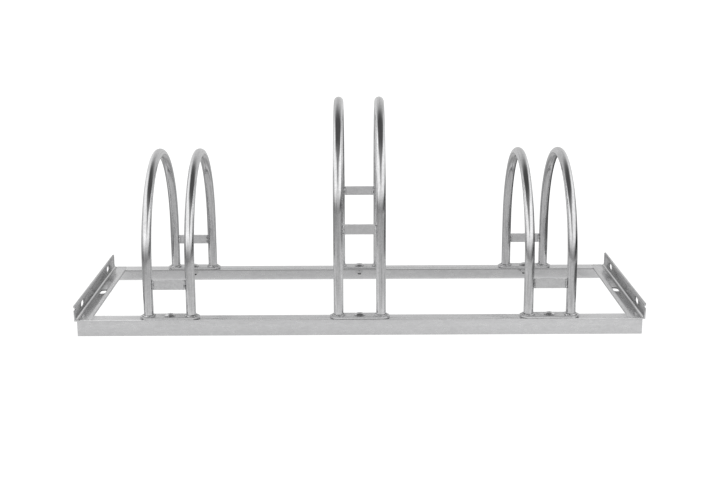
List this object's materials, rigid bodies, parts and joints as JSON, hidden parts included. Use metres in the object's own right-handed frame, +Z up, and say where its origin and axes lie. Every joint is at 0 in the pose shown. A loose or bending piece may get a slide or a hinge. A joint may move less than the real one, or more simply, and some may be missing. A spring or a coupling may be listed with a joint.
{
  "type": "bike parking stand",
  "caption": "Floor-standing bike parking stand: paired bent tube hoops, the middle pair taller, bolted to a galvanised steel angle frame with slotted end brackets.",
  "frame": {"origin": "on the ground, under the middle of the stand", "axes": "+X along the rails, +Y the way a wheel is rolled in, +Z up"},
  "size_m": [1.05, 0.39, 0.414],
  "materials": {
    "rail_zinc": "hot-dip galvanised, matt, faint mottling",
    "bracket_zinc": "hot-dip galvanised, satin",
    "hoop_zinc": "galvanised tube, satin with brighter bends",
    "crossbar_zinc": "hot-dip galvanised, matt",
    "plate_zinc": "hot-dip galvanised, matt, welded",
    "bolt_zinc": "galvanised, satin",
    "washer_zinc": "galvanised, satin",
    "nut_zinc": "galvanised, satin"
  },
  "bodies": {
    "root": {"front_rail": "rail_zinc", "rear_rail": "rail_zinc", "left_end_bracket": "bracket_zinc", "right_end_bracket": "bracket_zinc", "left_holder_hoop_left": "hoop_zinc", "left_holder_hoop_right": "hoop_zinc", "left_holder_crossbar_front": "crossbar_zinc", "left_holder_crossbar_rear": "crossbar_zinc", "left_holder_plate_front": "plate_zinc", "left_holder_plate_rear": "plate_zinc", "left_holder_bolt_front": "bolt_zinc", "left_holder_bolt_rear": "bolt_zinc", "left_holder_washer_front": "washer_zinc", "left_holder_washer_rear": "washer_zinc", "left_holder_nut_front": "nut_zinc", "left_holder_nut_rear": "nut_zinc", "middle_holder_hoop_left": "hoop_zinc", "middle_holder_hoop_right": "hoop_zinc", "middle_holder_crossbar_front": "crossbar_zinc", "middle_holder_crossbar_rear": "crossbar_zinc", "middle_holder_plate_front": "plate_zinc", "middle_holder_plate_rear": "plate_zinc", "middle_holder_bolt_front": "bolt_zinc", "middle_holder_bolt_rear": "bolt_zinc", "middle_holder_washer_front": "washer_zinc", "middle_holder_washer_rear": "washer_zinc", "middle_holder_nut_front": "nut_zinc", "middle_holder_nut_rear": "nut_zinc", "right_holder_hoop_left": "hoop_zinc", "right_holder_hoop_right": "hoop_zinc", "right_holder_crossbar_front": "crossbar_zinc", "right_holder_crossbar_rear": "crossbar_zinc", "right_holder_plate_front": "plate_zinc", "right_holder_plate_rear": "plate_zinc", "right_holder_bolt_front": "bolt_zinc", "right_holder_bolt_rear": "bolt_zinc", "right_holder_washer_front": "washer_zinc", "right_holder_washer_rear": "washer_zinc", "right_holder_nut_front": "nut_zinc", "right_holder_nut_rear": "nut_zinc"}
  },
  "joints": []
}
